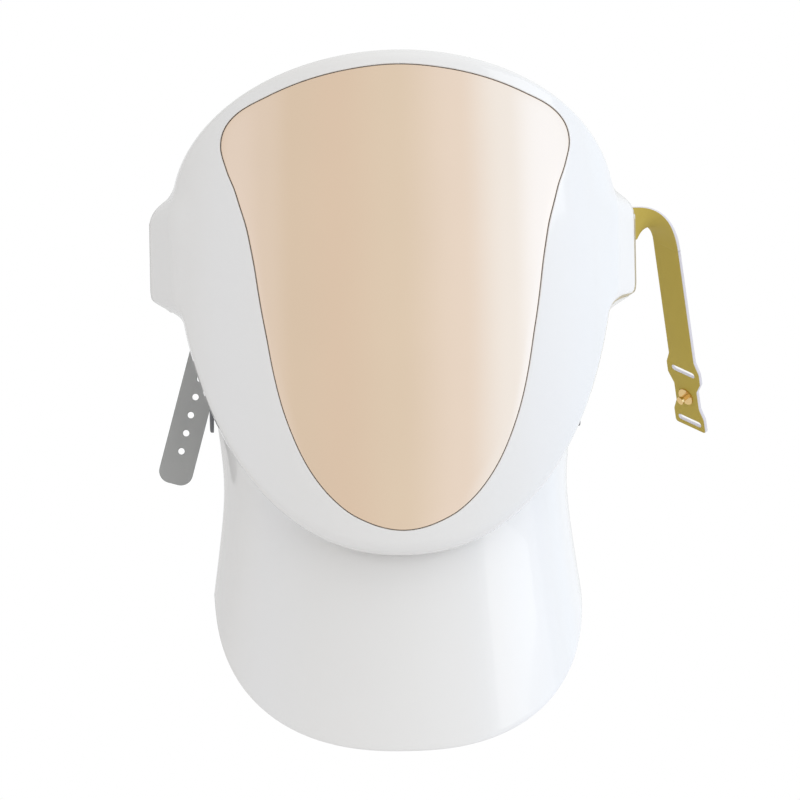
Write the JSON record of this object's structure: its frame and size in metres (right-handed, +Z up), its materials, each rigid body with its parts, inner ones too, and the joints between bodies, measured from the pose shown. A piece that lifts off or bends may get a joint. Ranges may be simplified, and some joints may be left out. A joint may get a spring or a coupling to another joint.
{
  "type": "led face mask",
  "caption": "Rigid light-therapy face mask with a mirror visor, a tilting neck part, cushioned inner liner and two silicone strap halves.",
  "frame": {"origin": "midway between the two strap pins, on the upright axis that the face curve is struck from", "axes": "+X to the right of the picture (the wearer's left), +Y towards the wearer's head, +Z up; the mask's front faces -Y"},
  "size_m": [0.2569, 0.2139, 0.3171],
  "materials": {
    "shell_white": "gloss",
    "visor_mirror": "polished",
    "strap_grey": "satin",
    "strap_gold": "satin",
    "stud_gold": "polished",
    "steel": "satin",
    "cap_grey": "matte",
    "bracket_grey": "matte",
    "liner_milk": "satin",
    "silicone_white": "satin",
    "board_green": "satin",
    "led_amber": "gloss",
    "chip_black": "matte",
    "cell_foil": "satin",
    "button_grey": "satin"
  },
  "bodies": {
    "mask": {"face_shell": "shell_white", "mirror_visor": "visor_mirror", "strap_lug_left": "shell_white", "strap_lug_right": "shell_white", "lug_screws": "steel", "strap_pin_left": "steel", "strap_pin_right": "steel", "pivot_caps": "cap_grey", "neck_pivot_pins": "steel", "neck_bracket_left": "bracket_grey", "neck_bracket_right": "bracket_grey", "face_liner": "liner_milk", "edge_seal": "silicone_white", "eye_cushion_left": "silicone_white", "eye_cushion_right": "silicone_white", "nose_rest": "silicone_white", "forehead_pad": "silicone_white", "chin_pad": "silicone_white", "face_led_board": "board_green", "control_board": "board_green", "face_leds": "led_amber", "control_chips": "chip_black", "battery": "cell_foil", "liner_screws": "steel", "power_switch": "chip_black", "charging_inlet": "steel"},
    "neck": {"neck_shell": "shell_white", "neck_liner": "liner_milk", "neck_led_board": "board_green", "neck_leds": "led_amber", "neck_screws": "steel"},
    "strap_left": {"strap_left_band": "strap_grey"},
    "strap_right": {"strap_right_band": "strap_gold", "strap_stud": "stud_gold", "stud_backing": "stud_gold"},
    "power_button": {"power_button": "button_grey"}
  },
  "joints": [
    {"name": "neck_tilt", "type": "hinge", "parent": "mask", "child": "neck", "pos_m": [0, 0.002, -0.074], "axis": [1, 0, 0], "range_deg": [0, 8]},
    {"name": "strap_left_swing", "type": "hinge", "parent": "mask", "child": "strap_left", "pos_m": [-0.104, 0, 0.0095], "axis": [0, 0, 1], "range_deg": [0, 70]},
    {"name": "strap_right_swing", "type": "hinge", "parent": "mask", "child": "strap_right", "pos_m": [0.104, 0, 0.0095], "axis": [0, 0, 1], "range_deg": [-15, 75]},
    {"name": "power_press", "type": "slide", "parent": "mask", "child": "power_button", "axis": [0, -1, 0], "range_m": [0, 0.0008], "stiffness_N_per_m": 900, "springref_m": -0.0006}
  ]
}
